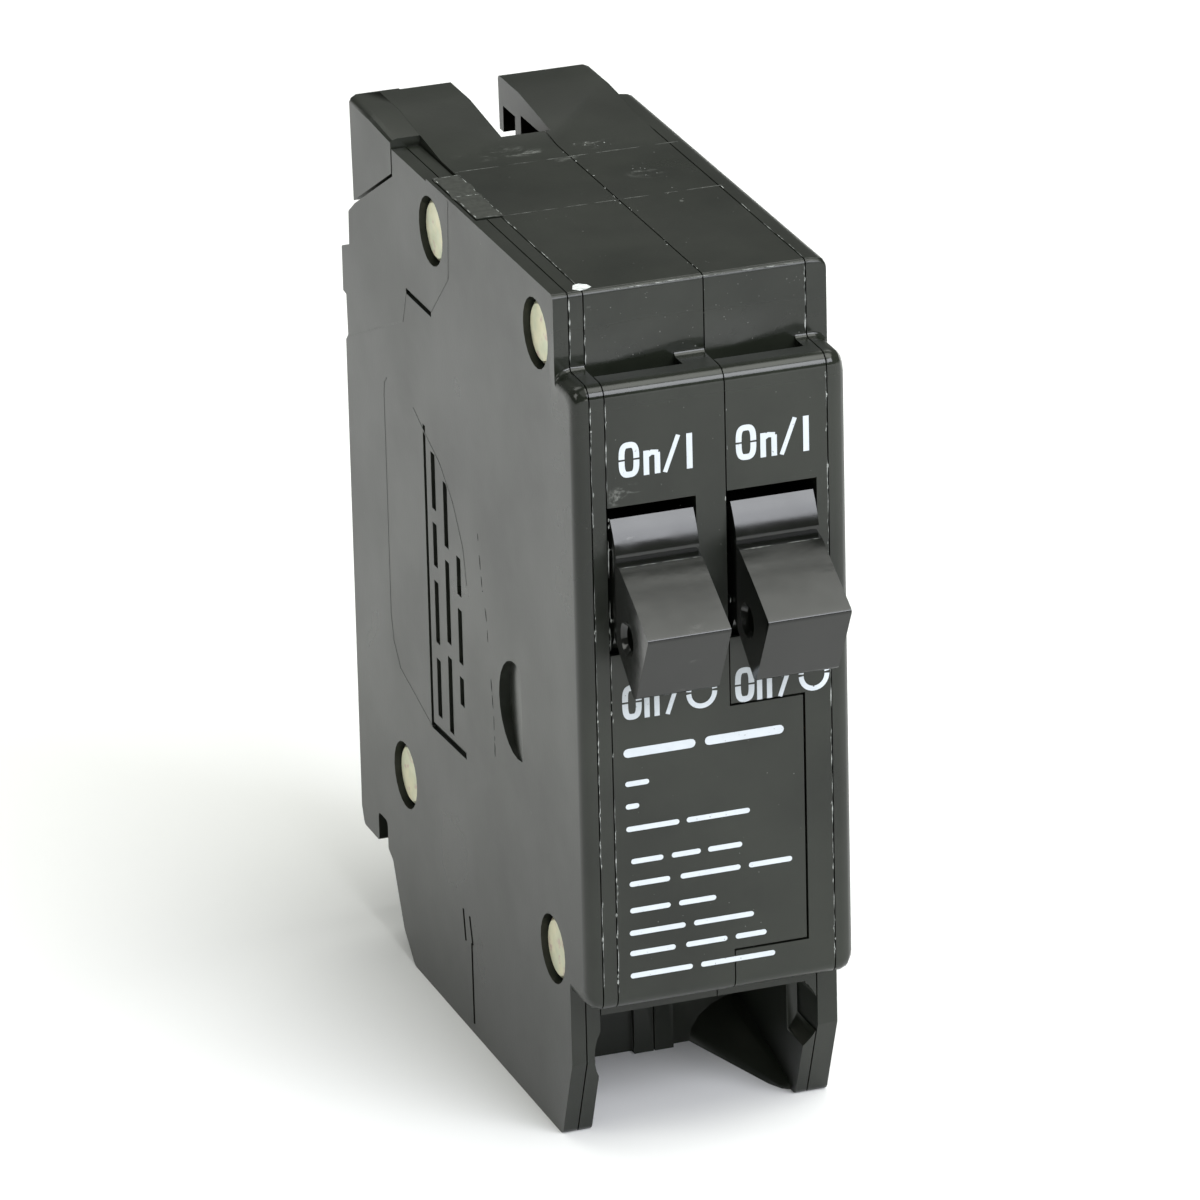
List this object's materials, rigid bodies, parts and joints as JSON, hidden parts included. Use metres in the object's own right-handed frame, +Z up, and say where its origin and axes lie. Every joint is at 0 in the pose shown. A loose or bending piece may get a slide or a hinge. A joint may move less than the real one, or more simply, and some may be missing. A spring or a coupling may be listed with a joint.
{
  "type": "circuit breaker",
  "caption": "Twin plug-on circuit breaker, one inch wide, with a toggle handle on each pole, a stab slot at the top rear, a rail hook, and screw terminals in a pocket at the foot.",
  "frame": {"origin": "bottom centre of the bounding box, on the plane of the flat bottom", "axes": "+Z up the front face, from terminals to horns; the toggles face -Y; +X to the right seen from the front"},
  "size_m": [0.0254, 0.0728, 0.0823],
  "materials": {
    "moulding": "satin moulded thermoset",
    "handle": "semi-gloss moulded",
    "rivet": "yellow zinc plate",
    "zinc_screw": "zinc plate",
    "steel": "plain stamped steel",
    "copper": "plain copper",
    "contact": "silver alloy",
    "bimetal": "rolled strip"
  },
  "bodies": {
    "housing": {"jaw_spring": "steel", "left_arm_pin": "steel", "left_bimetal": "bimetal", "left_braid": "copper", "left_calibration_screw": "zinc_screw", "left_case": "moulding", "left_cover": "moulding", "left_cradle_pin": "steel", "left_fixed_contact": "contact", "left_handle_pin": "steel", "left_line_strap": "copper", "left_liner": "moulding", "left_load_strap": "copper", "left_magnet_yoke": "steel", "line_jaw": "copper", "right_arm_pin": "steel", "right_bimetal": "bimetal", "right_braid": "copper", "right_calibration_screw": "zinc_screw", "right_case": "moulding", "right_cover": "moulding", "right_cradle_pin": "steel", "right_fixed_contact": "contact", "right_handle_pin": "steel", "right_line_strap": "copper", "right_load_strap": "copper", "right_magnet_yoke": "steel", "rivet_bottom_front": "rivet", "rivet_bottom_rear": "rivet", "rivet_top_front": "rivet", "rivet_top_rear": "rivet"},
    "left_toggle": {"left_handle": "handle"},
    "left_contact_blade": {"left_contact_arm": "copper", "left_moving_contact": "contact"},
    "left_trip_lever": {"left_cradle": "steel", "left_operating_spring": "steel"},
    "left_latch_plate": {"left_armature": "steel"},
    "left_wire_clamp": {"left_terminal_clamp": "steel"},
    "left_clamp_screw": {"left_terminal_screw": "zinc_screw"},
    "right_toggle": {"right_handle": "handle"},
    "right_contact_blade": {"right_contact_arm": "copper", "right_moving_contact": "contact"},
    "right_trip_lever": {"right_cradle": "steel", "right_operating_spring": "steel"},
    "right_latch_plate": {"right_armature": "steel"},
    "right_wire_clamp": {"right_terminal_clamp": "steel"},
    "right_clamp_screw": {"right_terminal_screw": "zinc_screw"}
  },
  "joints": [
    {"name": "left_handle_turn", "type": "hinge", "parent": "housing", "child": "left_toggle", "pos_m": [-0.00575, -0.01863, 0.05569], "axis": [-1, 0, 0], "range_deg": [0, 25]},
    {"name": "left_arm_turn", "type": "hinge", "parent": "housing", "child": "left_contact_blade", "pos_m": [-0.00644, -0.00581, 0.05168], "axis": [1, 0, 0], "range_deg": [0, 15]},
    {"name": "left_cradle_turn", "type": "hinge", "parent": "housing", "child": "left_trip_lever", "pos_m": [-0.00644, -0.00874, 0.03602], "axis": [1, 0, 0], "range_deg": [0, 5]},
    {"name": "left_armature_turn", "type": "hinge", "parent": "housing", "child": "left_latch_plate", "pos_m": [-0.00575, 0.01289, 0.01987], "axis": [-1, 0, 0], "range_deg": [0, 4]},
    {"name": "left_screw_turn", "type": "hinge", "parent": "housing", "child": "left_clamp_screw", "pos_m": [-0.00575, -0.00463, 0.01008], "axis": [0, 1, 0], "range_deg": [0, 721]},
    {"name": "left_clamp_slide", "type": "slide", "parent": "housing", "child": "left_wire_clamp", "axis": [0, -1, 0], "range_m": [0, 0.0014]},
    {"name": "right_handle_turn", "type": "hinge", "parent": "housing", "child": "right_toggle", "pos_m": [0.00545, -0.01863, 0.05569], "axis": [-1, 0, 0], "range_deg": [0, 25]},
    {"name": "right_arm_turn", "type": "hinge", "parent": "housing", "child": "right_contact_blade", "pos_m": [0.00551, -0.00581, 0.05168], "axis": [1, 0, 0], "range_deg": [0, 15]},
    {"name": "right_cradle_turn", "type": "hinge", "parent": "housing", "child": "right_trip_lever", "pos_m": [0.00551, -0.00874, 0.03602], "axis": [1, 0, 0], "range_deg": [0, 5]},
    {"name": "right_armature_turn", "type": "hinge", "parent": "housing", "child": "right_latch_plate", "pos_m": [0.00545, 0.01289, 0.01987], "axis": [-1, 0, 0], "range_deg": [0, 4]},
    {"name": "right_screw_turn", "type": "hinge", "parent": "housing", "child": "right_clamp_screw", "pos_m": [0.00545, -0.00463, 0.01008], "axis": [0, 1, 0], "range_deg": [0, 721]},
    {"name": "right_clamp_slide", "type": "slide", "parent": "housing", "child": "right_wire_clamp", "axis": [0, -1, 0], "range_m": [0, 0.0014]}
  ],
  "couplings": [
    {"joint": "left_arm_turn", "follows": "left_handle_turn", "ratio": 0.6},
    {"joint": "left_screw_turn", "follows": "left_clamp_slide", "rad_per_m": 8976},
    {"joint": "right_arm_turn", "follows": "right_handle_turn", "ratio": 0.6},
    {"joint": "right_screw_turn", "follows": "right_clamp_slide", "rad_per_m": 8976}
  ]
}
